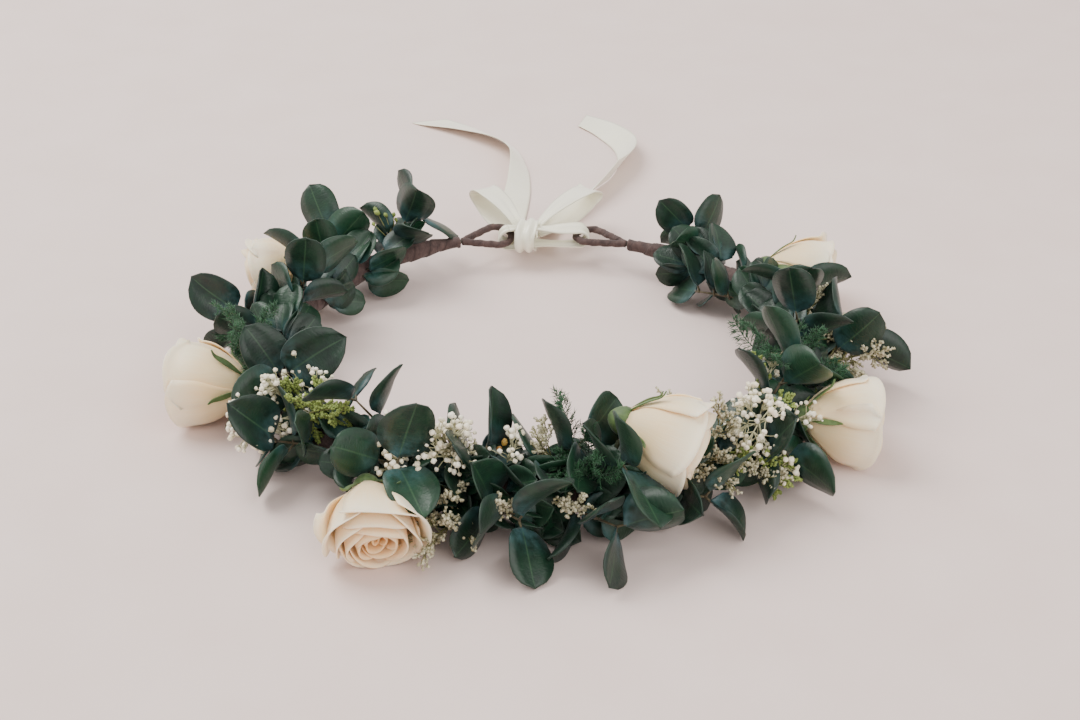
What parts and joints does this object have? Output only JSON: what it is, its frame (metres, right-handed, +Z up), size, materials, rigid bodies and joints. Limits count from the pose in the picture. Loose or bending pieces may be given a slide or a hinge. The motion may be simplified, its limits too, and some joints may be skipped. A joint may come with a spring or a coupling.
{
  "type": "flower crown",
  "caption": "Flower crown: taped wire hoop with cream roses, eucalyptus sprigs and dried filler flowers, open at the back and tied with a satin ribbon bow.",
  "frame": {"origin": "centre of the hoop on the table that the crown lies on", "axes": "+Z up through the head opening, +Y towards the tied gap at the back of the head, +X to the right seen from the front"},
  "size_m": [0.2646, 0.3856, 0.0495],
  "materials": {
    "hoop_wire": "paper-wrapped green",
    "floral_tape": "waxed crepe, dusty brown",
    "florist_wire": "dull green",
    "rose_petals": "soft matt, cream outside and peach inside",
    "rose_calyx": "dry green",
    "eucalyptus_leaf": "dyed dark green with a waxy bloom",
    "gypsophila": "cream, dry",
    "fern": "dry green",
    "statice": "dry olive with pale flowers",
    "seed_spikes": "dry green",
    "satin_ribbon": "ivory satin"
  },
  "bodies": {
    "crown": {"eucalyptus_back_left_arm": "eucalyptus_leaf", "eucalyptus_back_left_rose": "eucalyptus_leaf", "eucalyptus_back_right_arm": "eucalyptus_leaf", "eucalyptus_back_right_inner": "eucalyptus_leaf", "eucalyptus_back_right_rose": "eucalyptus_leaf", "eucalyptus_front_inner": "eucalyptus_leaf", "eucalyptus_front_left_inner": "eucalyptus_leaf", "eucalyptus_front_left_low": "eucalyptus_leaf", "eucalyptus_front_low": "eucalyptus_leaf", "eucalyptus_front_mid_inner": "eucalyptus_leaf", "eucalyptus_front_mid_low": "eucalyptus_leaf", "eucalyptus_front_right_low": "eucalyptus_leaf", "eucalyptus_front_right_top": "eucalyptus_leaf", "eucalyptus_left_inner": "eucalyptus_leaf", "eucalyptus_left_low": "eucalyptus_leaf", "eucalyptus_left_top": "eucalyptus_leaf", "eucalyptus_right_back": "eucalyptus_leaf", "eucalyptus_right_inner": "eucalyptus_leaf", "eucalyptus_right_low": "eucalyptus_leaf", "eucalyptus_right_top": "eucalyptus_leaf", "eucalyptus_rose_top": "eucalyptus_leaf", "eyelet_left": "floral_tape", "eyelet_right": "floral_tape", "fern_front": "fern", "fern_left": "fern", "fern_right": "fern", "gypsophila_front": "gypsophila", "gypsophila_left": "gypsophila", "gypsophila_right": "gypsophila", "hoop_wire": "hoop_wire", "ribbon_lashing": "satin_ribbon", "rose_back_left_calyx": "rose_calyx", "rose_back_left_petals": "rose_petals", "rose_back_left_wire": "florist_wire", "rose_back_right_calyx": "rose_calyx", "rose_back_right_petals": "rose_petals", "rose_back_right_wire": "florist_wire", "rose_front_left_calyx": "rose_calyx", "rose_front_left_petals": "rose_petals", "rose_front_left_wire": "florist_wire", "rose_front_right_calyx": "rose_calyx", "rose_front_right_petals": "rose_petals", "rose_front_right_wire": "florist_wire", "rose_left_calyx": "rose_calyx", "rose_left_petals": "rose_petals", "rose_left_wire": "florist_wire", "rose_right_calyx": "rose_calyx", "rose_right_petals": "rose_petals", "rose_right_wire": "florist_wire", "seeds_left": "seed_spikes", "seeds_right": "seed_spikes", "statice_front": "statice", "statice_front_right": "statice", "statice_right": "statice", "stem_tape": "floral_tape"},
    "bow": {"bow_knot": "satin_ribbon", "bow_loop_left": "satin_ribbon", "bow_loop_right": "satin_ribbon"},
    "tail_left": {"ribbon_tail_left": "satin_ribbon"},
    "tail_right": {"ribbon_tail_right": "satin_ribbon"}
  },
  "joints": [
    {"name": "bow_roll", "type": "hinge", "parent": "crown", "child": "bow", "pos_m": [-0.004, 0.0953, 0.012], "axis": [1, 0, 0], "range_deg": [-45, 60]},
    {"name": "tail_left_drop", "type": "hinge", "parent": "bow", "child": "tail_left", "pos_m": [-0.0076, 0.10324, 0.00785], "axis": [1, 0, 0], "range_deg": [-60, 0]},
    {"name": "tail_right_drop", "type": "hinge", "parent": "bow", "child": "tail_right", "pos_m": [-0.0008, 0.10324, 0.00785], "axis": [1, 0, 0], "range_deg": [-60, 0]}
  ]
}
